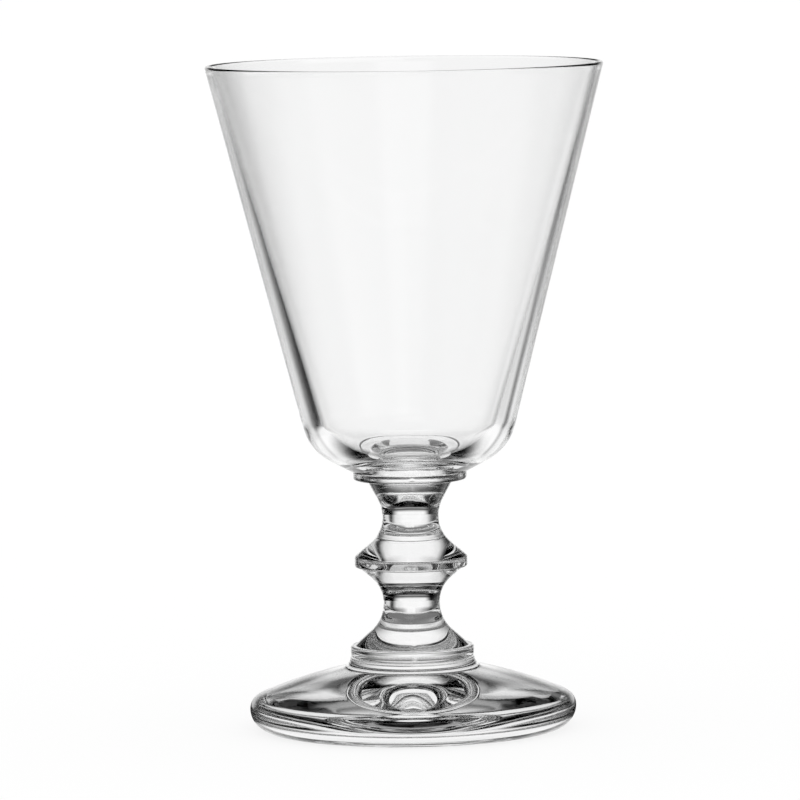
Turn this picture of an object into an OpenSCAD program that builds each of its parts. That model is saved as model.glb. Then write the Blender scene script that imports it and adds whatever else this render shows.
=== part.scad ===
// Water goblet: a tapered bowl on a knopped stem with a collar at each end, on a conical foot.
// Every piece is turned about the Z axis. The foot stands on the plane z = 0, and the pieces stack on it.

/* [Foot] */
// Largest diameter of the foot
foot_d = 78.6; // [60:0.2:96]
// Height of the foot, from the table to the joint with its collar
foot_h = 17.3; // [14:0.1:22]
// Height of the foot's widest line, which is also the radius of the edge below it
foot_edge_h = 5.1; // [4:0.1:6.2]
// Radius of the edge above the widest line
foot_shoulder_r = 3.2; // [1.5:0.1:4]
// Radius of the gently domed top
foot_dome_r = 116; // [90:1:160]
// Height of the joint above the domed top, where the two would meet
foot_waist_h = 2.16; // [1.5:0.02:2.6]
// Radius of the hollow curve between the joint and the domed top
foot_waist_r = 2.6; // [2.4:0.1:8]
// Width by which the foot's joint face stands out past its collar
foot_joint_lip = 0.1; // [0.1:0.05:1]
// Width of the ring that the foot stands on
rest_w = 1.7; // [1:0.1:6]
// Height of the hollow's cone under the foot, up to the point that its tip rounds off
hollow_h = 6.6; // [3:0.1:9]
// Radius of the hollow's rounded tip
hollow_tip_r = 80; // [2:0.5:100]

/* [Foot collar] */
// Diameter of the collar on the foot
foot_collar_d = 29.7; // [24:0.1:36]
// Thickness of the collar on the foot
foot_collar_h = 2.8; // [2:0.1:4]
// Radius of the edges of the collar on the foot
foot_collar_edge_r = 0.6; // [0.2:0.1:0.9]
// Width of the collar's ledge round the stem's skirt
skirt_ledge = 1.15; // [0.9:0.05:2]

/* [Stem] */
// Diameter of both waists
waist_d = 13.55; // [11:0.05:17]
// Height of the skirt, from its foot to the lower waist
skirt_h = 10.2; // [8.5:0.1:13]
// Height from the lower waist to the knop's band
knop_under_h = 8.7; // [7.2:0.1:11]
// Height of the knop's band
knop_band_h = 2.5; // [2:0.1:4]
// Height from the knop's band to the upper waist
knop_over_h = 9.6; // [8:0.1:12]
// Height from the upper waist to the head's joint
head_h = 9; // [7:0.1:11]
// Diameter of the knop
knop_d = 27.1; // [22:0.1:32.6]
// Width of the small flat ledge under the knop's band
knop_ledge = 0.9; // [0.6:0.05:1.5]
// Radius of the edges of the knop's band
knop_edge_r = 0.5; // [0.2:0.05:0.6]
// Radius of the hollow curve of the skirt
skirt_curve_r = 9.1; // [6:0.1:10]
// Radius of the hollow curve under the knop
knop_under_curve_r = 8; // [5:0.1:8.8]
// Radius of the hollow curve over the knop
knop_over_curve_r = 8.3; // [5:0.1:9]
// Radius of the hollow curve of the head
head_curve_r = 9.2; // [6:0.1:11]
// Radius of the head's upper edge
head_edge_r = 0.5; // [0.2:0.05:0.8]

/* [Bowl collar] */
// Diameter of the collar under the bowl
bowl_collar_d = 27.3; // [22.7:0.1:33]
// Thickness of the collar under the bowl
bowl_collar_h = 1.8; // [1.5:0.1:3]
// Radius of the lower edge of the collar under the bowl
bowl_collar_edge_r = 0.7; // [0.2:0.05:0.9]
// Width of the collar's ledge round the stem's head
head_ledge = 3.25; // [1.5:0.05:4]

/* [Bowl] */
// Outer diameter of the lip
rim_d = 95.3; // [79:0.1:115]
// Height of the bowl, from its joint to the lip
bowl_h = 98.1; // [80:0.1:120]
// Wall at the lip
lip_wall = 1.1; // [0.9:0.05:2]
// Width by which the bowl's joint face stays inside its collar
bowl_joint_inset = 0.1; // [0.05:0.05:1]
// Diameter where the lines of the side and the underside cross
heel_d = 48.2; // [44:0.1:58]
// Height above the joint where the lines of the side and the underside cross
heel_h = 5.7; // [4.5:0.1:7]
// Radius of the rounded heel
heel_r = 12.5; // [6:0.1:14]
// Width from the crossing at the heel to the crossing of the inside's lines
heel_wall = 5; // [4:0.1:6]
// Thickness of the floor above the joint
floor_t = 4.5; // [3.7:0.1:6]
// Radius of the rounded corner inside
inner_heel_r = 12; // [8:0.1:17]

/* [Hidden] */
$fn = 180;
// Straight steps in each round stretch of an outline
arc_steps = 16;
// Closer than this, two points of an outline are one
same_point = 0.001;
// Least straight run between a flare's hollow curve and its end
flare_straight = 2;
// Clear glass
glass = [0.93, 0.95, 0.96];
glass_alpha = 0.45;

// Heights at which the pieces meet
stem_base = foot_h + foot_collar_h;
stem_top = stem_base + skirt_h + knop_under_h + knop_band_h + knop_over_h + head_h;
bowl_base = stem_top + bowl_collar_h;
bowl_top = bowl_base + bowl_h;

// Radii that follow the piece next to them
foot_joint_r = foot_collar_d / 2 + foot_joint_lip;
skirt_r = foot_collar_d / 2 - skirt_ledge;
head_r = bowl_collar_d / 2 - head_ledge;
bowl_joint_r = bowl_collar_d / 2 - bowl_joint_inset;

// Vector of length 1 the same way
function unit(v) = v / norm(v);

// Angle of a vector from the outward direction
function bearing(v) = atan2(v.y, v.x);

// Vector of length 1 at a bearing
function toward(angle) = [cos(angle), sin(angle)];

// Angle turned the short way from one bearing to another
function short_turn(from, to) = ((to - from + 540) % 360) - 180;

// Points on the short arc about a centre, from one point to another
function arc(centre, start, finish) =
    let (radius = norm(start - centre))
    let (from = bearing(start - centre))
    let (turn = short_turn(from, bearing(finish - centre)))
    [for (k = [0 : arc_steps]) centre + radius * toward(from + turn * k / arc_steps)];

// Crossing of two circles that lies left of the way from the first centre to the second
function crossing(centre_a, radius_a, centre_b, radius_b) =
    let (apart = norm(centre_b - centre_a))
    let (way = unit(centre_b - centre_a))
    let (along = (apart ^ 2 + radius_a ^ 2 - radius_b ^ 2) / (2 * apart))
    let (across = sqrt(radius_a ^ 2 - along ^ 2))
    centre_a + way * along + [-way.y, way.x] * across;

// Points of a corner rounded to a radius, between the points before and after it
function rounded(before, corner, after, radius) =
    let (back = unit(before - corner))
    let (on = unit(after - corner))
    let (half = acos(back * on) / 2)
    let (reach = radius / tan(half))
    let (centre = corner + unit(back + on) * radius / sin(half))
    arc(centre, corner + back * reach, corner + on * reach);

// Points of the hollow curve that leaves a waist upright and ends pointing at the end of the flare.
// The curve's radius is limited by the room that the flare has.
function flare(waist, curve_r, end) =
    let (span = end - waist)
    let (radius = min(curve_r, (span * span - flare_straight ^ 2) / (2 * span.x)))
    let (centre = waist + [radius, 0])
    let (spread = acos(radius / norm(end - centre)))
    let (side = end.y > waist.y ? 1 : -1)
    let (touch = centre + radius * toward(bearing(end - centre) + side * spread))
    arc(centre, waist, touch);

function last(points) = points[len(points) - 1];

function reversed(points) = [for (k = [len(points) - 1 : -1 : 0]) points[k]];

// Points of an outline without the repeats where two stretches join
function distinct(points) =
    [for (k = [0 : len(points) - 1])
        if (k == 0 || !(norm(points[k] - points[max(k - 1, 0)]) <= same_point)) points[k]];

// Solid turned about the Z axis from an outline of radius and height
module turned(outline) {
    color(glass, glass_alpha)
        rotate_extrude()
            polygon(distinct(outline));
}

// Foot with a domed top, a waist under the collar and a shallow conical hollow underneath
module foot() {
    foot_r = foot_d / 2;
    widest = [foot_r, foot_edge_h];
    edge_centre = widest - [foot_edge_h, 0];
    rest_outer = edge_centre - [0, foot_edge_h];
    rest_inner = rest_outer - [rest_w, 0];
    hollow_slope = atan2(hollow_h, rest_inner.x);
    tip_centre = [0, hollow_h - hollow_tip_r / cos(hollow_slope)];
    tip_end = tip_centre + hollow_tip_r * toward(90 - hollow_slope);
    joint_edge = [foot_joint_r, foot_h];
    // The dome passes under the joint's edge and touches the shoulder
    shoulder_centre = widest - [foot_shoulder_r, 0];
    dome_low = joint_edge - [0, foot_waist_h];
    dome_centre = crossing(shoulder_centre, foot_dome_r - foot_shoulder_r, dome_low, foot_dome_r);
    shoulder_end = dome_centre + foot_dome_r * unit(shoulder_centre - dome_centre);
    // The waist's hollow curve starts at the joint's edge and touches the dome
    waist_centre = crossing(joint_edge, foot_waist_r, dome_centre, foot_dome_r + foot_waist_r);
    waist_end = dome_centre + foot_dome_r * unit(waist_centre - dome_centre);
    turned(concat(
        arc(tip_centre, tip_centre + [0, hollow_tip_r], tip_end),
        [rest_inner],
        arc(edge_centre, rest_outer, widest),
        arc(shoulder_centre, widest, shoulder_end),
        arc(dome_centre, shoulder_end, waist_end),
        arc(waist_centre, waist_end, joint_edge),
        [[0, foot_h]]));
}

// Disc between the foot and the stem's skirt, rounded at both edges
module foot_collar() {
    low = [foot_collar_d / 2, foot_h];
    high = [foot_collar_d / 2, stem_base];
    low_middle = [0, foot_h];
    high_middle = [0, stem_base];
    turned(concat(
        [low_middle],
        rounded(low_middle, low, high, foot_collar_edge_r),
        rounded(low, high, high_middle, foot_collar_edge_r),
        [high_middle]));
}

// Solid stem: skirt, lower waist, knop, upper waist and head
module stem() {
    skirt_end = [skirt_r, stem_base];
    low_waist = [waist_d / 2, stem_base + skirt_h];
    band_low = [knop_d / 2, low_waist.y + knop_under_h];
    band_high = band_low + [0, knop_band_h];
    ledge_end = band_low - [knop_ledge, 0];
    high_waist = [waist_d / 2, band_high.y + knop_over_h];
    head_corner = [head_r, stem_top];
    head_middle = [0, stem_top];
    over_knop = flare(high_waist, knop_over_curve_r, band_high);
    to_head = flare(high_waist, head_curve_r, head_corner);
    turned(concat(
        [[0, stem_base], skirt_end],
        reversed(flare(low_waist, skirt_curve_r, skirt_end)),
        flare(low_waist, knop_under_curve_r, ledge_end),
        [ledge_end],
        rounded(ledge_end, band_low, band_high, knop_edge_r),
        rounded(band_low, band_high, last(over_knop), knop_edge_r),
        reversed(over_knop),
        to_head,
        rounded(last(to_head), head_corner, head_middle, head_edge_r),
        [head_middle]));
}

// Disc between the stem's head and the bowl, rounded at its lower edge
module bowl_collar() {
    low = [bowl_collar_d / 2, stem_top];
    high = [bowl_collar_d / 2, bowl_base];
    low_middle = [0, stem_top];
    turned(concat(
        [low_middle],
        rounded(low_middle, low, high, bowl_collar_edge_r),
        [high, [0, bowl_base]]));
}

// Blown bowl, with a round lip, a wall that thickens downwards and a thick floor
module bowl() {
    joint_edge = [bowl_joint_r, bowl_base];
    heel = [heel_d / 2, bowl_base + heel_h];
    lip_r = lip_wall / 2;
    lip_centre = [rim_d / 2 - lip_r, bowl_top - lip_r];
    lip_outer = lip_centre + [lip_r, 0];
    lip_top = lip_centre + [0, lip_r];
    lip_inner = lip_centre - [lip_r, 0];
    floor_corner = [heel.x - heel_wall, bowl_base + floor_t];
    floor_middle = [0, floor_corner.y];
    turned(concat(
        [[0, bowl_base], joint_edge],
        rounded(joint_edge, heel, lip_outer, heel_r),
        arc(lip_centre, lip_outer, lip_top),
        arc(lip_centre, lip_top, lip_inner),
        rounded(lip_inner, floor_corner, floor_middle, inner_heel_r),
        [floor_middle]));
}

foot();
foot_collar();
stem();
bowl_collar();
bowl();
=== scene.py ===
"""Water goblet: five pieces of clear glass, turned from their outlines, and a plain studio round them."""
import cmath
import math

import bmesh
import bpy
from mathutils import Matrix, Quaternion, Vector


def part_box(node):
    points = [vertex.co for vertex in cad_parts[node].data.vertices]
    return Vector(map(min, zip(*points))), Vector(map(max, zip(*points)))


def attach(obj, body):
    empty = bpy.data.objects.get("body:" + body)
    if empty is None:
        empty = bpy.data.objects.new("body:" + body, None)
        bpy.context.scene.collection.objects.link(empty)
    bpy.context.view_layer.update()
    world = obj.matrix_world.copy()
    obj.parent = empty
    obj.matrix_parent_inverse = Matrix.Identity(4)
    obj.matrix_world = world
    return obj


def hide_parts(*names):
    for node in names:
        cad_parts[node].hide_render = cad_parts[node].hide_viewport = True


bl_info = {
    "name": "Water Goblet",
    "version": (1, 0, 0),
    "blender": (4, 5, 0),
    "location": "View3D > Sidebar > Goblet",
    "description": "Turns a knopped water goblet out of clear glass and lights it in a plain studio",
    "category": "Add Mesh",
}

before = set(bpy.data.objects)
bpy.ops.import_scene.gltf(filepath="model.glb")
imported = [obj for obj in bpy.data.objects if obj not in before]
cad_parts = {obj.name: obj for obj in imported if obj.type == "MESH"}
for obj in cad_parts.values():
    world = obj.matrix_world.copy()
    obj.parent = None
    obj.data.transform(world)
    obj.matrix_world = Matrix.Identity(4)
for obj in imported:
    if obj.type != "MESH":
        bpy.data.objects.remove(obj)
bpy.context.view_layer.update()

MM = 0.001
# Straight steps round each piece
SEGMENTS = 360
# Longest step along a round and along a straight stretch of an outline
ROUND_STEP = 0.45 * MM
STRAIGHT_STEP = 1.2 * MM
# Largest turn in one step of a round stretch
ROUND_TURN = math.radians(6)
# Steps of an eased corner
EASE_STEPS = 8
# Closer than this, two points are one
SAME_POINT = 0.0005 * MM
# Edges that turn by more than this stay crisp
CRISP_TURN = math.radians(32)
# Over this distance from a joint or from the axis, ripples and seams fade in
FADE_IN = 2.5 * MM
# Noise of the ripples
RIPPLE_DETAIL = 1.0
RIPPLE_ROUGHNESS = 0.4
# Waves per metre and detail of the glass's cords, of its polish and of its clouds of tint
CORD_NOISE = (60.0, 2.0)
POLISH_NOISE = (240.0, 3.0)
CLOUD_NOISE = (25.0, 1.0)
# Strength and height of the cords' bump
CORD_STRENGTH = 0.05
CORD_HEIGHT = 0.1 * MM
# Span of the polish's noise, and the roughness at its two ends
POLISH_SPAN = (0.3, 0.7)
POLISH_ROUGHNESS = (0.004, 0.02)

FOOT_LOW, FOOT_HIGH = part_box("foot")
FOOT_COLLAR_LOW, FOOT_COLLAR_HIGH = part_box("foot_collar")
STEM_LOW, STEM_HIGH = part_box("stem")
BOWL_COLLAR_LOW, BOWL_COLLAR_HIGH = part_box("bowl_collar")
BOWL_LOW, BOWL_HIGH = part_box("bowl")


# Properties

def length(name, description, default):
    """A size in metres."""
    return bpy.props.FloatProperty(
        name=name, description=description, default=default, min=0, precision=5, unit="LENGTH")


def angle(name, description, degrees):
    """An angle, given in degrees."""
    return bpy.props.FloatProperty(
        name=name, description=description, default=math.radians(degrees), subtype="ANGLE")


def share(name, description, default):
    """A share from 0 to 1."""
    return bpy.props.FloatProperty(
        name=name, description=description, default=default, min=0, max=1, subtype="FACTOR")


def grey(name, description, level):
    """A neutral colour."""
    return bpy.props.FloatVectorProperty(
        name=name, description=description, default=(level,) * 3, min=0, max=1, size=3, subtype="COLOR")


class FootSizes(bpy.types.PropertyGroup):
    """Sizes of the foot"""
    radius: length("Radius", "Radius at the widest line", FOOT_HIGH.x)
    edge_height: length("Edge height", "Height of the widest line and radius of the edge below it", 5.1 * MM)
    shoulder_radius: length("Shoulder radius", "Radius of the edge above the widest line", 3.2 * MM)
    dome_radius: length("Dome radius", "Radius of the gently domed top", 116 * MM)
    waist_height: length("Waist height", "Height of the joint above the dome", 2.16 * MM)
    waist_radius: length("Waist radius", "Radius of the hollow curve below the joint", 2.6 * MM)
    joint_lip: length("Joint lip", "Width by which the joint face stands out past the collar", 0.1 * MM)
    rest_width: length("Rest width", "Width of the ring that the foot stands on", 1.7 * MM)
    hollow_height: length("Hollow height", "Height of the cone of the hollow underneath", 6.6 * MM)
    tip_radius: length("Tip radius", "Radius of the hollow's rounded tip", 80 * MM)
    ease: length("Ease", "Reach of the fire polish at the corners", 0.3 * MM)


class CollarSizes(bpy.types.PropertyGroup):
    """Sizes of the two collars"""
    foot_collar_radius: length("Foot collar radius", "Radius of the collar on the foot", FOOT_COLLAR_HIGH.x)
    foot_collar_edge: length("Foot collar edge", "Radius of both edges of that collar", 0.6 * MM)
    bowl_collar_radius: length("Bowl collar radius", "Radius of the bowl's collar", BOWL_COLLAR_HIGH.x)
    bowl_collar_edge: length("Bowl collar edge", "Radius of the lower edge of that collar", 0.7 * MM)


class StemSizes(bpy.types.PropertyGroup):
    """Sizes of the stem"""
    waist_radius: length("Waist radius", "Radius of both waists", 6.775 * MM)
    knop_radius: length("Knop radius", "Radius of the knop", 13.55 * MM)
    skirt_radius: length("Skirt radius", "Radius of the skirt where it stands on its collar", STEM_HIGH.x)
    head_radius: length("Head radius", "Radius of the head under the upper collar", 10.4 * MM)
    skirt_height: length("Skirt height", "Height from the skirt's foot to the lower waist", 10.2 * MM)
    knop_under_height: length("Knop under height", "Height from the lower waist to the band", 8.7 * MM)
    knop_band_height: length("Knop band height", "Height of the knop's band", 2.5 * MM)
    knop_over_height: length("Knop over height", "Height from the band to the upper waist", 9.6 * MM)
    knop_ledge: length("Knop ledge", "Width of the small ledge under the knop's band", 0.9 * MM)
    knop_edge: length("Knop edge", "Radius of the edges of the knop's band", 0.5 * MM)
    head_edge: length("Head edge", "Radius of the head's upper edge", 0.5 * MM)
    skirt_curve: length("Skirt curve", "Radius of the hollow curve of the skirt", 9.1 * MM)
    knop_under_curve: length("Knop under curve", "Radius of the hollow curve under the knop", 8 * MM)
    knop_over_curve: length("Knop over curve", "Radius of the hollow curve over the knop", 8.3 * MM)
    head_curve: length("Head curve", "Radius of the hollow curve of the head", 9.2 * MM)
    ease: length("Ease", "Reach of the fire polish in the knop's ledge", 0.25 * MM)
    seam_bearing: angle("Seam bearing", "Bearing of the two faint mould seams, from +X", -88)
    seam_height: length("Seam height", "Height of the mould seams", 0.06 * MM)
    seam_width: length("Seam width", "Half width of the mould seams", 0.5 * MM)


class BowlSizes(bpy.types.PropertyGroup):
    """Sizes of the bowl"""
    rim_radius: length("Rim radius", "Outer radius of the lip", BOWL_HIGH.x)
    lip_wall: length("Lip wall", "Wall at the lip", 1.1 * MM)
    joint_inset: length("Joint inset", "Width by which the joint face stays inside its collar", 0.1 * MM)
    heel_radius: length("Heel radius", "Radius where the lines of side and underside cross", 24.1 * MM)
    heel_height: length("Heel height", "Height above the joint where those lines cross", 5.7 * MM)
    heel_round: length("Heel round", "Radius of the rounded heel", 12.5 * MM)
    heel_wall: length("Heel wall", "Width from that crossing to the crossing of the inside's lines", 5 * MM)
    floor_thickness: length("Floor thickness", "Thickness of the floor above the joint", 4.5 * MM)
    inner_round: length("Inner round", "Radius of the rounded corner inside", 12 * MM)


class GlassLook(bpy.types.PropertyGroup):
    """Finish of the glass"""
    tint: bpy.props.FloatVectorProperty(
        name="Tint", description="Colour of the glass", default=(0.985, 0.987, 0.987), min=0, max=1, size=3,
        subtype="COLOR")
    ior: bpy.props.FloatProperty(
        name="Refraction", description="Index of refraction", default=1.52, min=1, max=2.5)
    foot_ripple: length("Foot ripple", "Height of the ripples in the pressed foot", 0.02 * MM)
    stem_ripple: length("Stem ripple", "Height of the ripples in the stem and its collars", 0.008 * MM)
    bowl_ripple: length("Bowl ripple", "Height of the ripples in the blown bowl", 0.006 * MM)
    ripple_size: length("Ripple size", "Length of the ripples", 9 * MM)


class StageLook(bpy.types.PropertyGroup):
    """Camera, floor and light"""
    distance: length("Distance", "Distance of the camera from the goblet's axis", 1.55)
    height: length("Height", "Height of the camera above the table", 0.22)
    aim_height: length("Aim height", "Height that the camera aims at", 79.2 * MM)
    aim_side: length("Aim side", "How far to the left of the axis the camera aims", 2.1 * MM)
    roll: angle("Roll", "Roll of the camera", 0.85)
    lens: bpy.props.FloatProperty(
        name="Lens", description="Focal length in millimetres", default=291.6, min=1,
        subtype="DISTANCE_CAMERA")
    floor_colour: grey("Floor colour", "Colour of the floor", 0.92)
    floor_white: share("Floor white", "Share of plain white that the camera sees in the floor", 0.85)
    floor_glow: bpy.props.FloatProperty(
        name="Floor glow", description="Strength of that plain white", default=1.02, min=0)
    # Levels of the painted shade on the floor under the foot, as the glass shows it
    under_shade_middle: share("Under middle", "Level of the floor under the foot's middle in the glass", 0.2)
    under_shade_edge: share("Under edge", "Level of the floor under the foot's edge in the glass", 0.9)
    panel: share("Panel", "Level of the panel on the right in the glass", 0.7)
    surround: share("Surround", "Level of the dark room in the glass", 0.0)


class GobletSettings(bpy.types.PropertyGroup):
    """Everything that a user may change"""
    foot: bpy.props.PointerProperty(type=FootSizes, name="Foot")
    collars: bpy.props.PointerProperty(type=CollarSizes, name="Collars")
    stem: bpy.props.PointerProperty(type=StemSizes, name="Stem")
    bowl: bpy.props.PointerProperty(type=BowlSizes, name="Bowl")
    glass: bpy.props.PointerProperty(type=GlassLook, name="Glass")
    stage: bpy.props.PointerProperty(type=StageLook, name="Stage")


# Outlines: a point is a complex number, its radius the real part and its height the imaginary part

def unit(way):
    """Number of length 1 the same way."""
    return way / abs(way)


def arc(centre, start, finish):
    """Points on the short arc about a centre, from one point to another."""
    turn = cmath.phase((finish - centre) / (start - centre))
    reach = abs(start - centre) * abs(turn)
    steps = max(math.ceil(abs(turn) / ROUND_TURN), math.ceil(reach / ROUND_STEP), 2)
    return [centre + (start - centre) * cmath.rect(1, turn * k / steps) for k in range(steps + 1)]


def crossing(centre_a, radius_a, centre_b, radius_b):
    """Crossing of two circles that lies left of the way from the first centre to the second."""
    apart = abs(centre_b - centre_a)
    along = (apart ** 2 + radius_a ** 2 - radius_b ** 2) / (2 * apart)
    across = math.sqrt(radius_a ** 2 - along ** 2)
    return centre_a + unit(centre_b - centre_a) * complex(along, across)


def rounded(before, corner, after, radius):
    """Points of a corner rounded to a radius, between the points before and after it."""
    back, on = unit(before - corner), unit(after - corner)
    half = abs(cmath.phase(on / back)) / 2
    centre = corner + unit(back + on) * radius / math.sin(half)
    reach = radius / math.tan(half)
    return arc(centre, corner + back * reach, corner + on * reach)


def flare(waist, curve, end):
    """Points of the hollow curve that leaves a waist upright and ends pointing at the end of the flare."""
    centre = waist + curve
    spread = math.acos(curve / abs(end - centre))
    side = math.copysign(spread, end.imag - waist.imag)
    return arc(centre, waist, centre + unit(end - centre) * cmath.rect(curve, side))


def cut_back(points, reach):
    """Points without the last stretch of a given length, ending in a new point there."""
    while abs(points[-2] - points[-1]) < reach:
        reach -= abs(points[-2] - points[-1])
        points = points[:-1]
    end = points[-1] + unit(points[-2] - points[-1]) * reach
    return points[:-1] + [end]


def eased(before, after, reach):
    """Two stretches that meet in a corner, joined with the corner eased over a reach on both sides."""
    corner = before[-1]
    start = cut_back(before, reach)
    finish = cut_back(after[::-1], reach)[::-1]
    steps = [k / EASE_STEPS for k in range(1, EASE_STEPS)]
    bend = [start[-1] * (1 - t) ** 2 + 2 * corner * t * (1 - t) + finish[0] * t ** 2 for t in steps]
    return start + bend + finish


def filled(points):
    """Points without repeats, with steps along the straight stretches."""
    full = [points[0]]
    for point in points[1:]:
        gap = abs(point - full[-1])
        if gap < SAME_POINT:
            continue
        steps = math.ceil(gap / STRAIGHT_STEP)
        last = full[-1]
        full += [last + (point - last) * k / steps for k in range(1, steps + 1)]
    return full


def foot_outline(sizes, contact):
    """Outline of the foot, from the top of its hollow round to the middle of its joint."""
    widest = complex(sizes.radius, sizes.edge_height)
    edge_centre = widest - sizes.edge_height
    rest_outer = edge_centre - 1j * sizes.edge_height
    rest_inner = rest_outer - sizes.rest_width
    slope = math.atan2(sizes.hollow_height, rest_inner.real)
    tip_centre = 1j * (sizes.hollow_height - sizes.tip_radius / math.cos(slope))
    tip_top = tip_centre + 1j * sizes.tip_radius
    tip_end = tip_centre + cmath.rect(sizes.tip_radius, math.pi / 2 - slope)
    joint_edge = complex(FOOT_COLLAR_HIGH.x + sizes.joint_lip, FOOT_HIGH.z)
    shoulder_centre = widest - sizes.shoulder_radius
    dome_low = joint_edge - 1j * sizes.waist_height
    dome_centre = crossing(
        shoulder_centre, sizes.dome_radius - sizes.shoulder_radius, dome_low, sizes.dome_radius)
    shoulder_end = dome_centre + unit(shoulder_centre - dome_centre) * sizes.dome_radius
    waist_centre = crossing(
        joint_edge, sizes.waist_radius, dome_centre, sizes.dome_radius + sizes.waist_radius)
    waist_end = dome_centre + unit(waist_centre - dome_centre) * sizes.dome_radius
    hollow = arc(tip_centre, tip_top, tip_end) + [rest_inner]
    outside = (
        [rest_inner]
        + arc(edge_centre, rest_outer, widest)
        + arc(shoulder_centre, widest, shoulder_end)
        + arc(dome_centre, shoulder_end, waist_end)
        + arc(waist_centre, waist_end, joint_edge))
    joint = [joint_edge, complex(contact, FOOT_HIGH.z), complex(0, FOOT_HIGH.z)]
    return eased(eased(hollow, outside, sizes.ease), joint, sizes.ease)


def foot_collar_outline(sizes, skirt_radius):
    """Outline of the collar on the foot, rounded at both edges."""
    low = complex(sizes.foot_collar_radius, FOOT_COLLAR_LOW.z)
    high = complex(sizes.foot_collar_radius, FOOT_COLLAR_HIGH.z)
    low_middle, high_middle = 1j * low.imag, 1j * high.imag
    return (
        [low_middle]
        + rounded(low_middle, low, high, sizes.foot_collar_edge)
        + rounded(low, high, high_middle, sizes.foot_collar_edge)
        + [complex(skirt_radius, high.imag), high_middle])


def stem_outline(sizes):
    """Outline of the stem: skirt, lower waist, knop, upper waist and head."""
    skirt_end = complex(sizes.skirt_radius, STEM_LOW.z)
    low_waist = complex(sizes.waist_radius, skirt_end.imag + sizes.skirt_height)
    band_low = complex(sizes.knop_radius, low_waist.imag + sizes.knop_under_height)
    band_high = band_low + 1j * sizes.knop_band_height
    ledge_end = band_low - sizes.knop_ledge
    high_waist = complex(sizes.waist_radius, band_high.imag + sizes.knop_over_height)
    head_corner = complex(sizes.head_radius, STEM_HIGH.z)
    head_middle = 1j * STEM_HIGH.z
    under_knop = flare(low_waist, sizes.knop_under_curve, ledge_end)
    over_knop = flare(high_waist, sizes.knop_over_curve, band_high)
    to_head = flare(high_waist, sizes.head_curve, head_corner)
    skirt = [1j * STEM_LOW.z, skirt_end] + flare(low_waist, sizes.skirt_curve, skirt_end)[::-1]
    knop = (
        [ledge_end]
        + rounded(ledge_end, band_low, band_high, sizes.knop_edge)
        + rounded(band_low, band_high, over_knop[-1], sizes.knop_edge)
        + over_knop[::-1])
    head = to_head + rounded(to_head[-1], head_corner, head_middle, sizes.head_edge) + [head_middle]
    return eased(skirt + under_knop + [ledge_end], knop, sizes.ease) + head


def bowl_collar_outline(sizes, head_contact, bowl_contact):
    """Outline of the collar under the bowl, rounded at its lower edge."""
    low = complex(sizes.bowl_collar_radius, BOWL_COLLAR_LOW.z)
    high = complex(sizes.bowl_collar_radius, BOWL_COLLAR_HIGH.z)
    low_middle, high_middle = 1j * low.imag, 1j * high.imag
    return (
        [low_middle, complex(head_contact, low.imag)]
        + rounded(low_middle, low, high, sizes.bowl_collar_edge)
        + [high, complex(bowl_contact, high.imag), high_middle])


def bowl_outline(sizes, contact):
    """Outline of the bowl, from the middle of its joint over the lip to the middle of its floor."""
    joint_edge = complex(contact, BOWL_LOW.z)
    heel = complex(sizes.heel_radius, BOWL_LOW.z + sizes.heel_height)
    lip_round = sizes.lip_wall / 2
    lip_centre = complex(sizes.rim_radius - lip_round, BOWL_HIGH.z - lip_round)
    lip_outer, lip_inner = lip_centre + lip_round, lip_centre - lip_round
    lip_top = lip_centre + 1j * lip_round
    floor_corner = complex(heel.real - sizes.heel_wall, BOWL_LOW.z + sizes.floor_thickness)
    floor_middle = 1j * floor_corner.imag
    return (
        [1j * BOWL_LOW.z, joint_edge]
        + rounded(joint_edge, heel, lip_outer, sizes.heel_round)
        + arc(lip_centre, lip_outer, lip_top)
        + arc(lip_centre, lip_top, lip_inner)
        + rounded(lip_inner, floor_corner, floor_middle, sizes.inner_round)
        + [floor_middle])


# Node trees

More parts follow.
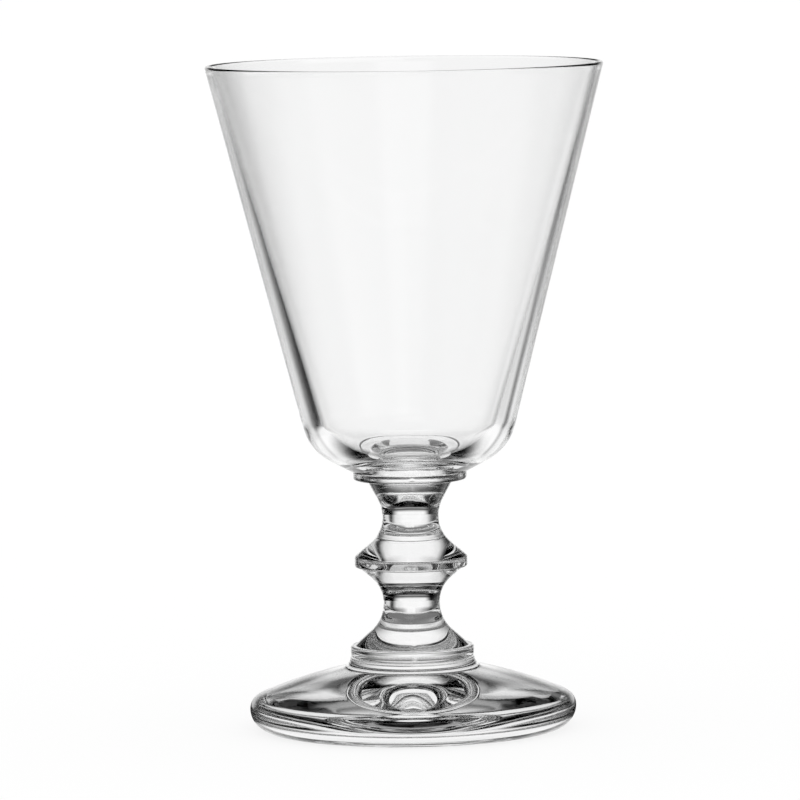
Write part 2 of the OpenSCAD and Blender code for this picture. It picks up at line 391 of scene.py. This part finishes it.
class Graph:
    """A node tree with short calls that add linked nodes."""

    def __init__(self, tree):
        self.tree = tree

    def feed(self, socket, value):
        """Links a socket to an output, or sets its value."""
        if isinstance(value, bpy.types.NodeSocket):
            self.tree.links.new(value, socket)
        else:
            socket.default_value = value

    def add(self, kind, inputs=(), **settings):
        """A node with its settings, and its inputs by name or number."""
        node = self.tree.nodes.new(kind)
        for name, value in settings.items():
            setattr(node, name, value)
        for name, value in dict(inputs).items():
            self.feed(node.inputs[name], value)
        return node

    def math(self, operation, *values):
        """Result of a sum on numbers."""
        return self.add("ShaderNodeMath", dict(enumerate(values)), operation=operation).outputs[0]

    def vector(self, operation, *values):
        """Result of a sum on vectors."""
        return self.add("ShaderNodeVectorMath", dict(enumerate(values)), operation=operation).outputs[0]

    def ramp(self, value, stops):
        """Grey that follows a value through stops of place and level."""
        node = self.add("ShaderNodeValToRGB", {"Fac": value})
        colours = node.color_ramp.elements
        while len(colours) < len(stops):
            colours.new(1)
        for colour, (place, level) in zip(colours, stops):
            colour.position = place
            colour.color = (level, level, level, 1)
        return node.outputs["Color"]

    def by_angle(self, degrees, stops):
        """Grey that follows an angle through stops of degrees and level."""
        low, high = stops[0][0], stops[-1][0]
        part = self.math("DIVIDE", self.math("SUBTRACT", degrees, low), high - low)
        return self.ramp(part, [((place - low) / (high - low), level) for place, level in stops])

    def noise(self, place, scale, detail):
        """Noise from 0 to 1 at a place, by its waves per metre and its detail."""
        node = self.add("ShaderNodeTexNoise", {"Vector": place, "Scale": scale, "Detail": detail})
        return node.outputs["Fac"]

    def blend(self, part, first, second):
        """Level between two others, by the part of the second one."""
        return self.add("ShaderNodeMix", {"Factor": part, "A": first, "B": second}).outputs["Result"]

    def rise(self, value, low, high, at_low=0.0, at_high=1.0):
        """Value led smoothly from one level to another between two limits."""
        node = self.add(
            "ShaderNodeMapRange",
            {"Value": value, "From Min": low, "From Max": high, "To Min": at_low, "To Max": at_high},
            interpolation_type="SMOOTHSTEP")
        return node.outputs["Result"]


LATHE_INPUTS = {
    "Geometry": "NodeSocketGeometry",
    "Segments": "NodeSocketInt",
    "Seam bearing": "NodeSocketFloat",
    "Seam height": "NodeSocketFloat",
    "Seam width": "NodeSocketFloat",
    "Ripple height": "NodeSocketFloat",
    "Ripple size": "NodeSocketFloat",
    "Glass": "NodeSocketMaterial",
    "Joint": "NodeSocketMaterial",
}


def sampled(graph, outline, value, row, kind):
    """A value of the outline's points, read by their number."""
    return graph.add(
        "GeometryNodeSampleIndex", {"Geometry": outline, "Value": value, "Index": row},
        data_type=kind, domain="POINT").outputs["Value"]


def named(graph, name, kind):
    """A named attribute."""
    return graph.add("GeometryNodeInputNamedAttribute", {"Name": name}, data_type=kind).outputs["Attribute"]


def lathe_tree():
    """Tree that turns an outline about the Z axis, with two mould seams and faint ripples."""
    tree = bpy.data.node_groups.new("Glass lathe", "GeometryNodeTree")
    for name, kind in LATHE_INPUTS.items():
        tree.interface.new_socket(name, in_out="INPUT", socket_type=kind)
    tree.interface.new_socket("Geometry", in_out="OUTPUT", socket_type="NodeSocketGeometry")
    graph = Graph(tree)
    given = graph.add("NodeGroupInput").outputs
    outline = given["Geometry"]
    rows = graph.add(
        "GeometryNodeAttributeDomainSize", {"Geometry": outline}, component="MESH").outputs["Point Count"]
    index = graph.add("GeometryNodeInputIndex").outputs[0]
    grid = graph.add(
        "GeometryNodeMeshGrid",
        {"Vertices X": graph.math("ADD", given["Segments"], 1), "Vertices Y": rows}).outputs["Mesh"]

    # Place of each point: its row is a point of the outline, and its column is a step round the axis
    row = graph.math("MODULO", index, rows)
    column = graph.math("FLOOR", graph.math("DIVIDE", graph.math("ADD", index, 0.5), rows))
    bearing = graph.math("MULTIPLY", column, graph.math("DIVIDE", math.tau, given["Segments"]))
    at = graph.add("GeometryNodeInputPosition").outputs[0]
    place = graph.add("ShaderNodeSeparateXYZ", {0: sampled(graph, outline, at, row, "FLOAT_VECTOR")}).outputs
    free = sampled(graph, outline, named(graph, "free", "FLOAT"), row, "FLOAT")

    # Mould seams on two opposite sides
    off_seam = graph.math("MULTIPLY", place["X"], graph.math(
        "SINE", graph.math("SUBTRACT", bearing, given["Seam bearing"])))
    falling = graph.math("POWER", graph.math("DIVIDE", off_seam, given["Seam width"]), 2)
    ridge = graph.math("EXPONENT", graph.math("MULTIPLY", falling, -1))
    seam = graph.math("MULTIPLY", graph.math("MULTIPLY", ridge, given["Seam height"]), free)
    radius = graph.math("ADD", place["X"], seam)
    turned_place = graph.add("ShaderNodeCombineXYZ", {
        "X": graph.math("MULTIPLY", radius, graph.math("COSINE", bearing)),
        "Y": graph.math("MULTIPLY", radius, graph.math("SINE", bearing)),
        "Z": place["Z"]}).outputs[0]
    turned = graph.add("GeometryNodeSetPosition", {"Geometry": grid, "Position": turned_place}).outputs[0]

    # Marks that outlast the merging of the seam and the poles
    face_row = graph.math("MODULO", index, graph.math("SUBTRACT", rows, 1))
    joint = sampled(graph, outline, named(graph, "joint", "BOOLEAN"), face_row, "BOOLEAN")
    marked = graph.add(
        "GeometryNodeStoreNamedAttribute", {"Geometry": turned, "Name": "joint", "Value": joint},
        data_type="BOOLEAN", domain="FACE").outputs[0]
    marked = graph.add(
        "GeometryNodeStoreNamedAttribute", {"Geometry": marked, "Name": "free", "Value": free},
        data_type="FLOAT", domain="POINT").outputs[0]
    closed = graph.add(
        "GeometryNodeMergeByDistance", {"Geometry": marked, "Distance": SAME_POINT / 2}).outputs[0]

    # Ripples along the surface's own normal
    here = graph.add("GeometryNodeInputPosition").outputs[0]
    noise = graph.add(
        "ShaderNodeTexNoise",
        {"Vector": graph.vector("DIVIDE", here, graph.add("ShaderNodeCombineXYZ", {
            "X": given["Ripple size"], "Y": given["Ripple size"], "Z": given["Ripple size"]}).outputs[0]),
         "Scale": 1.0, "Detail": RIPPLE_DETAIL, "Roughness": RIPPLE_ROUGHNESS}).outputs[0]
    wave = graph.math("SUBTRACT", graph.math("MULTIPLY", noise, 2.0), 1.0)
    height = graph.math("MULTIPLY", given["Ripple height"], named(graph, "free", "FLOAT"))
    rise = graph.math("MULTIPLY", wave, height)
    push = graph.add("ShaderNodeVectorMath", {
        0: graph.add("GeometryNodeInputNormal").outputs[0], "Scale": rise}, operation="SCALE").outputs[0]
    rippled = graph.add("GeometryNodeSetPosition", {"Geometry": closed, "Offset": push}).outputs[0]

    smooth = graph.add("GeometryNodeSetShadeSmooth", {"Geometry": rippled}).outputs[0]
    whole = graph.add("GeometryNodeRealizeInstances", {"Geometry": smooth}).outputs[0]
    glazed = graph.add("GeometryNodeSetMaterial", {"Geometry": whole, "Material": given["Glass"]}).outputs[0]
    fused = graph.add("GeometryNodeSetMaterial", {
        "Geometry": glazed,
        "Selection": named(graph, "joint", "BOOLEAN"),
        "Material": given["Joint"]}).outputs[0]
    graph.add("NodeGroupOutput", {"Geometry": fused})
    return tree


def fade(distance):
    """Share from 0 to 1 that rises smoothly over the fade-in distance."""
    t = min(distance / FADE_IN, 1)
    return t * t * (3 - 2 * t)


def outline_mesh(name, outline, joints, rests):
    """Polyline of an outline whose points say which step is a joint and how free they are of ripples."""
    points = filled(outline)
    mesh = bpy.data.meshes.new(name)
    mesh.from_pydata([(p.real, 0, p.imag) for p in points], [(k, k + 1) for k in range(len(points) - 1)], [])

    def in_joint(point):
        return any(
            abs(point.imag - z) < SAME_POINT and point.real < r + SAME_POINT for z, r in joints.items())

    pairs = zip(points, points[1:] + points[-1:])
    joint = mesh.attributes.new("joint", "BOOLEAN", "POINT")
    joint.data.foreach_set("value", [in_joint(a) and in_joint(b) for a, b in pairs])

    def room(point):
        across = [abs(point.imag - z) + max(point.real - r, 0) for z, r in joints.items()]
        return min([point.real, *across, *(abs(point.imag - z) for z in rests)])

    free = mesh.attributes.new("free", "FLOAT", "POINT")
    free.data.foreach_set("value", [fade(room(p)) for p in points])
    return mesh


def turned_piece(name, outline, joints, inputs, rests=()):
    """Plain closed mesh object that a lathe makes from an outline."""
    tree = bpy.data.node_groups.get("Glass lathe") or lathe_tree()
    piece = bpy.data.objects.new(name, outline_mesh(name, outline, joints, rests))
    bpy.context.collection.objects.link(piece)
    lathe = piece.modifiers.new("Lathe", "NODES")
    lathe.node_group = tree
    sockets = {s.name: s.identifier for s in tree.interface.items_tree if s.in_out == "INPUT"}
    inputs = {"Segments": SEGMENTS, "Glass": clear_glass(), "Joint": fused_joint(), **inputs}
    for label, value in inputs.items():
        lathe[sockets[label]] = value
    graph = bpy.context.evaluated_depsgraph_get()
    mesh = bpy.data.meshes.new_from_object(piece.evaluated_get(graph), depsgraph=graph)
    piece.modifiers.remove(lathe)
    bare = piece.data
    piece.data = mesh
    bpy.data.meshes.remove(bare)
    mesh.name = name
    close_up(mesh)
    return piece


def close_up(mesh):
    """Turns the faces outwards, keeps crisp corners and makes sure that the shell is closed."""
    shell = bmesh.new()
    shell.from_mesh(mesh)
    bmesh.ops.recalc_face_normals(shell, faces=shell.faces[:])
    open_edges = [e for e in shell.edges if len(e.link_faces) != 2]
    shell.to_mesh(mesh)
    shell.free()
    if open_edges:
        raise RuntimeError(f"{mesh.name} has {len(open_edges)} edges without two faces")
    for name in ("joint", "free"):
        mesh.attributes.remove(mesh.attributes[name])
    while mesh.materials[0] is None:
        mesh.materials.pop(index=0)
    mesh.set_sharp_from_angle(angle=CRISP_TURN)


# Materials

def fresh_material(name):
    """New material, and the graph of its empty node tree."""
    material = bpy.data.materials.new(name)
    material.use_nodes = True
    material.node_tree.nodes.clear()
    return material, Graph(material.node_tree)


def clear_glass():
    """Clear pressed and blown glass: faint cords in its surface and a polish that varies a little."""
    found = bpy.data.materials.get("goblet_glass")
    if found:
        return found
    look = bpy.context.scene.goblet.glass
    material, graph = fresh_material("goblet_glass")
    here = graph.add("ShaderNodeTexCoord").outputs["Object"]
    cords = graph.noise(here, *CORD_NOISE)
    polish = graph.noise(here, *POLISH_NOISE)
    cloud = graph.noise(here, *CLOUD_NOISE)
    bump = graph.add(
        "ShaderNodeBump", {"Height": cords, "Strength": CORD_STRENGTH, "Distance": CORD_HEIGHT})
    tint = graph.add(
        "ShaderNodeMix", {"Factor": cloud, "A": (*look.tint, 1), "B": (1, 1, 1, 1)}, data_type="RGBA")
    shader = graph.add("ShaderNodeBsdfPrincipled", {
        "Base Color": tint.outputs["Result"],
        "Transmission Weight": 1.0,
        "IOR": look.ior,
        "Roughness": graph.rise(polish, *POLISH_SPAN, *POLISH_ROUGHNESS),
        "Normal": bump.outputs["Normal"]})
    graph.add("ShaderNodeOutputMaterial", {"Surface": shader.outputs["BSDF"]})
    return material


def fused_joint():
    """Glass fused to glass, where light goes straight on."""
    found = bpy.data.materials.get("fused_joint")
    if found:
        return found
    material, graph = fresh_material("fused_joint")
    shader = graph.add("ShaderNodeBsdfPrincipled", {"Base Color": (1, 1, 1, 1), "Alpha": 0.0})
    graph.add("ShaderNodeOutputMaterial", {"Surface": shader.outputs["BSDF"]})
    return material


def finish_piece(piece, node):
    """Puts a piece in the place of its node, on the goblet's one body."""
    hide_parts(node)
    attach(piece, "root")


def stem_marks(settings):
    """Lathe inputs of the pressed stem and its collars."""
    return {
        "Seam bearing": settings.stem.seam_bearing,
        "Seam height": settings.stem.seam_height,
        "Seam width": settings.stem.seam_width,
        "Ripple height": settings.glass.stem_ripple,
        "Ripple size": settings.glass.ripple_size,
    }


def ripples(height, size):
    """Lathe inputs of a piece without mould seams."""
    return {"Seam width": 1.0, "Ripple height": height, "Ripple size": size}


def contacts(settings):
    """Radius of each joint face, from the foot up."""
    collars, stem = settings.collars, settings.stem
    to_head = stem_outline(stem)[-2]
    return {
        "foot": collars.foot_collar_radius - collars.foot_collar_edge,
        "skirt": stem.skirt_radius,
        "head": to_head.real,
        "bowl": collars.bowl_collar_radius - settings.bowl.joint_inset,
    }


# Operators

class GOBLET_OT_foot(bpy.types.Operator):
    """Turn the foot, with its domed top and the shallow hollow underneath"""
    bl_idname = "goblet.foot"
    bl_label = "Foot"

    def execute(self, context):
        settings = context.scene.goblet
        contact = contacts(settings)["foot"]
        piece = turned_piece(
            "glass_foot", foot_outline(settings.foot, contact), {FOOT_HIGH.z: contact},
            ripples(settings.glass.foot_ripple, settings.glass.ripple_size), rests=[FOOT_LOW.z])
        finish_piece(piece, "foot")
        return {"FINISHED"}


class GOBLET_OT_collars(bpy.types.Operator):
    """Turn the collar on the foot and the collar under the bowl"""
    bl_idname = "goblet.collars"
    bl_label = "Collars"

    def execute(self, context):
        settings = context.scene.goblet
        contact = contacts(settings)
        piece = turned_piece(
            "glass_foot_collar", foot_collar_outline(settings.collars, contact["skirt"]),
            {FOOT_COLLAR_LOW.z: contact["foot"], FOOT_COLLAR_HIGH.z: contact["skirt"]}, stem_marks(settings))
        finish_piece(piece, "foot_collar")
        piece = turned_piece(
            "glass_bowl_collar", bowl_collar_outline(settings.collars, contact["head"], contact["bowl"]),
            {BOWL_COLLAR_LOW.z: contact["head"], BOWL_COLLAR_HIGH.z: contact["bowl"]}, stem_marks(settings))
        finish_piece(piece, "bowl_collar")
        return {"FINISHED"}


class GOBLET_OT_stem(bpy.types.Operator):
    """Turn the stem, with its skirt, two waists, knop and head"""
    bl_idname = "goblet.stem"
    bl_label = "Stem"

    def execute(self, context):
        settings = context.scene.goblet
        contact = contacts(settings)
        piece = turned_piece(
            "glass_stem", stem_outline(settings.stem),
            {STEM_LOW.z: contact["skirt"], STEM_HIGH.z: contact["head"]}, stem_marks(settings))
        finish_piece(piece, "stem")
        return {"FINISHED"}


class GOBLET_OT_bowl(bpy.types.Operator):
    """Turn the blown bowl, with its round lip and thick floor"""
    bl_idname = "goblet.bowl"
    bl_label = "Bowl"

    def execute(self, context):
        settings = context.scene.goblet
        contact = contacts(settings)["bowl"]
        piece = turned_piece(
            "glass_bowl", bowl_outline(settings.bowl, contact), {BOWL_LOW.z: contact},
            ripples(settings.glass.bowl_ripple, settings.glass.ripple_size))
        finish_piece(piece, "bowl")
        return {"FINISHED"}


class GOBLET_OT_stage(bpy.types.Operator):
    """Set the camera, the pale floor and the soft light of the studio"""
    bl_idname = "goblet.stage"
    bl_label = "Stage"

    def execute(self, context):
        stage = context.scene.goblet.stage
        set_camera(context, stage)
        set_floor(context, stage)
        set_world(context, stage)
        set_render(context)
        return {"FINISHED"}


# Stage

# Width of the camera's sensor in millimetres, and how far the camera sees
SENSOR_WIDTH = 36
SIGHT = 50
# Bounces of light in the thick glass, and of mirrored light
GLASS_BOUNCES = 32
MIRROR_BOUNCES = 16
FLOOR_RADIUS = 40.0
FLOOR_SEGMENTS = 96
# Air between the floor and the ring that the foot stands on
FLOOR_GAP = 0.02 * MM
# How bright the floor looks in the glass, by bearing from straight behind, in degrees to the right:
# a white strip behind, dark cards on both sides of it, the left one much wider, and grey in front
FLOOR_STOPS = (
    (-180, 0.45), (-150, 0.45), (-125, 0.1), (-100, 0.0), (-44, 0.0), (-36, 0.15), (-25, 0.85), (-14, 1.0),
    (14, 1.0), (24, 0.8), (32, 0.05), (36, 0.05), (43, 0.75), (75, 0.8), (95, 0.3), (112, 0.45), (124, 1.0),
    (146, 1.0), (160, 0.45), (180, 0.45))
# The same close to the foot: dark all round except for a strip straight behind, a painted shadow of the
# goblet on the floor
NEAR_SHADOW_STOPS = (
    (-180, 0.0), (-30, 0.0), (-15, 0.45), (-5, 1.0), (5, 1.0), (15, 0.45), (30, 0.0), (180, 0.0))
# Distances between which the floor goes from the painted shadow of the near stops to the others, and at the
# sides to plain white
NEAR_SHADOW_FADE = (0.06, 0.13)
FAR_FADE = (0.36, 0.62)
# Bearings where the low backdrop fades out on both sides, and its level by angle of height
BACKDROP_SIDES = (18, 32)
BACKDROP_STOPS = (
    (0, 1.0), (5, 1.0), (8, 0.65), (11, 0.15), (13, 0.05), (15, 0.3), (18, 0.3), (20, 0.0), (90, 0.0))
# Level of the lights over the goblet, by the angle over it from the back to the front,
# and how far aside they end, as shares of a ray's length
OVERHEAD_STOPS = (
    (0, 0.0), (42, 0.0), (48, 1.0), (78, 1.0), (84, 0.0),
    (138, 0.0), (143, 0.6), (152, 0.6), (158, 0.0), (180, 0.0))
OVERHEAD_SIDES = (0.2, 0.35)
# Angles of height between which the white ground, seen through the floor, fades out
GROUND = (-26, -20.5)
# Angles of height where the white horizon at the sides fades out, and bearings where it starts
HORIZON = (1, 5)
SIDEWAYS = (66, 80)
# Angles of height and bearings of the pale panel on the right, towards the front
PANEL_TOP = (14, 26)
PANEL_SIDES = (108, 124)
# Radii between which the painted shade on the floor under the foot goes from its darker middle to its edge,
# and the width of its end
UNDER_SHADE_FADE = (20 * MM, 34 * MM)
UNDER_SHADE_END = 2 * MM


def set_camera(context, stage):
    """Camera at the photograph's viewing angle."""
    data = bpy.data.cameras.new("camera")
    data.lens = stage.lens
    data.sensor_width = SENSOR_WIDTH
    data.clip_end = SIGHT
    camera = bpy.data.objects.new("camera", data)
    camera.location = (-stage.aim_side, -stage.distance, stage.height)
    way = Vector((-stage.aim_side, 0, stage.aim_height)) - camera.location
    camera.rotation_mode = "QUATERNION"
    camera.rotation_quaternion = way.to_track_quat("-Z", "Y") @ Quaternion((0, 0, 1), -stage.roll)
    context.collection.objects.link(camera)
    context.scene.camera = camera


def in_degrees(graph, radians):
    """Angle in degrees."""
    return graph.math("MULTIPLY", radians, math.degrees(1))


def bearing_of(graph, place):
    """Bearing of a place or a direction in degrees, from straight behind to the right."""
    return in_degrees(graph, graph.math("ARCTAN2", place["X"], place["Y"]))


def largest(graph, *levels):
    """Largest of some levels."""
    found = levels[0]
    for level in levels[1:]:
        found = graph.math("MAXIMUM", found, level)
    return found


def in_glass(graph):
    """1 for the rays that the glass mirrors or lets through, else 0; and 1 for the camera's own rays."""
    ray = graph.add("ShaderNodeLightPath").outputs
    return graph.math("MAXIMUM", ray["Is Glossy Ray"], ray["Is Transmission Ray"]), ray["Is Camera Ray"]


def set_floor(context, stage):
    """Pale floor: white with a soft shade to the camera; to the glass, dark card shapes over a white ground,
    with a painted shadow round the foot and painted shade under it.
    """
    mesh = bpy.data.meshes.new("floor")
    disc = bmesh.new()
    bmesh.ops.create_circle(disc, cap_ends=True, segments=FLOOR_SEGMENTS, radius=FLOOR_RADIUS)
    bmesh.ops.translate(disc, verts=disc.verts[:], vec=(0, 0, -FLOOR_GAP))
    disc.to_mesh(mesh)
    disc.free()
    material, graph = fresh_material("pale_floor")
    through, to_camera = in_glass(graph)
    place = graph.add("ShaderNodeTexCoord").outputs["Object"]
    here = graph.add("ShaderNodeSeparateXYZ", {0: place}).outputs
    bearing = bearing_of(graph, here)
    away = graph.add("ShaderNodeVectorMath", {0: place}, operation="LENGTH").outputs["Value"]
    # Painted shadow of the goblet on the floor close to the foot, going over into the cards further out
    clear = graph.rise(away, *NEAR_SHADOW_FADE)
    cards_and_near_shadow = graph.blend(clear, graph.by_angle(bearing, NEAR_SHADOW_STOPS), graph.by_angle(bearing, FLOOR_STOPS))
    sideways = graph.rise(graph.math("ABSOLUTE", bearing), *SIDEWAYS)
    far = graph.math("MULTIPLY", graph.rise(away, *FAR_FADE), sideways)
    # Painted shade on the floor under the foot, darker towards its middle
    under = graph.rise(away, *UNDER_SHADE_FADE, stage.under_shade_middle, stage.under_shade_edge)
    open_floor = graph.rise(away, FOOT_HIGH.x, FOOT_HIGH.x + UNDER_SHADE_END)
    level = graph.blend(open_floor, under, largest(graph, cards_and_near_shadow, far))
    ground = graph.add("ShaderNodeBsdfTransparent", {"Color": clear}).outputs[0]
    # Glow of the floor that only the glass sees, with the painted shadow and the painted shade in it
    glow_with_painted_shade = graph.add("ShaderNodeEmission").outputs[0]
    mirrored = graph.add("ShaderNodeMixShader", {0: level, 1: ground, 2: glow_with_painted_shade}).outputs[0]
    lit = graph.add("ShaderNodeBsdfDiffuse", {"Color": (*stage.floor_colour, 1)}).outputs[0]
    white = graph.add("ShaderNodeEmission", {"Strength": stage.floor_glow}).outputs[0]
    part = graph.math("MULTIPLY", to_camera, stage.floor_white)
    shown = graph.add("ShaderNodeMixShader", {0: part, 1: lit, 2: white}).outputs[0]
    shown = graph.add("ShaderNodeMixShader", {0: through, 1: shown, 2: mirrored}).outputs[0]
    graph.add("ShaderNodeOutputMaterial", {"Surface": shown})
    material.cycles.emission_sampling = "NONE"
    mesh.materials.append(material)
    floor = bpy.data.objects.new("floor", mesh)
    context.collection.objects.link(floor)


def set_world(context, stage):
    """Soft even light, white to the camera; to the glass, lights and a backdrop in a dark room."""
    world = bpy.data.worlds.new("studio")
    world.use_nodes = True
    world.node_tree.nodes.clear()
    graph = Graph(world.node_tree)
    through, _ = in_glass(graph)
    ray = graph.add("ShaderNodeTexCoord").outputs["Generated"]
    way = graph.add("ShaderNodeSeparateXYZ", {0: ray}).outputs
    rise = in_degrees(graph, graph.math("ARCSINE", way["Z"]))
    over = in_degrees(graph, graph.math("ARCTAN2", way["Z"], way["Y"]))
    bearing = bearing_of(graph, way)
    aside = graph.math("ABSOLUTE", bearing)
    backdrop = graph.math(
        "MULTIPLY", graph.by_angle(rise, BACKDROP_STOPS), graph.rise(aside, *BACKDROP_SIDES, 1.0, 0.0))
    overhead = graph.math(
        "MULTIPLY", graph.by_angle(over, OVERHEAD_STOPS),
        graph.rise(graph.math("ABSOLUTE", way["X"]), *OVERHEAD_SIDES, 1.0, 0.0))
    horizon = graph.math("MULTIPLY", graph.rise(rise, *HORIZON, 1.0, 0.0), graph.rise(aside, *SIDEWAYS))
    panel = graph.math(
        "MULTIPLY", graph.rise(rise, *PANEL_TOP, stage.panel, 0.0), graph.rise(bearing, *PANEL_SIDES))
    room = largest(graph, backdrop, overhead, horizon, panel, stage.surround)
    ground = graph.rise(rise, *GROUND, 1.0, 0.0)
    shown = graph.blend(graph.math("GREATER_THAN", rise, 0.0), ground, room)
    level = graph.blend(through, 1.0, shown)
    sky = graph.add("ShaderNodeBackground", {"Color": (1, 1, 1, 1), "Strength": level}).outputs[0]
    graph.add("ShaderNodeOutputWorld", {"Surface": sky})
    context.scene.world = world


def set_render(context):
    """Plain view settings, and enough bounces for light to cross the thick glass."""
    scene = context.scene
    scene.view_settings.view_transform = "Standard"
    scene.cycles.max_bounces = GLASS_BOUNCES
    scene.cycles.transmission_bounces = GLASS_BOUNCES
    scene.cycles.transparent_max_bounces = GLASS_BOUNCES
    scene.cycles.glossy_bounces = MIRROR_BOUNCES
    scene.cycles.caustics_refractive = False
    scene.cycles.caustics_reflective = False


# Panel and registration

class GOBLET_PT_panel(bpy.types.Panel):
    """Lists the goblet's pieces and its stage"""
    bl_idname = "GOBLET_PT_panel"
    bl_label = "Water Goblet"
    bl_space_type = "VIEW_3D"
    bl_region_type = "UI"
    bl_category = "Goblet"

    def draw(self, context):
        for operator in OPERATORS:
            self.layout.operator(operator.bl_idname)
        for group in GobletSettings.__annotations__:
            box = self.layout.box()
            box.label(text=group.capitalize())
            sizes = getattr(context.scene.goblet, group)
            for name in sizes.__annotations__:
                box.prop(sizes, name)


GROUPS = (FootSizes, CollarSizes, StemSizes, BowlSizes, GlassLook, StageLook, GobletSettings)
OPERATORS = (GOBLET_OT_foot, GOBLET_OT_collars, GOBLET_OT_stem, GOBLET_OT_bowl, GOBLET_OT_stage)
CLASSES = (*GROUPS, *OPERATORS, GOBLET_PT_panel)


def register():
    for each in CLASSES:
        bpy.utils.register_class(each)
    bpy.types.Scene.goblet = bpy.props.PointerProperty(type=GobletSettings)


def unregister():
    del bpy.types.Scene.goblet
    for each in reversed(CLASSES):
        bpy.utils.unregister_class(each)


def main():
    register()
    bpy.ops.goblet.foot()
    bpy.ops.goblet.collars()
    bpy.ops.goblet.stem()
    bpy.ops.goblet.bowl()
    bpy.ops.goblet.stage()


if __name__ == "__main__":
    main()
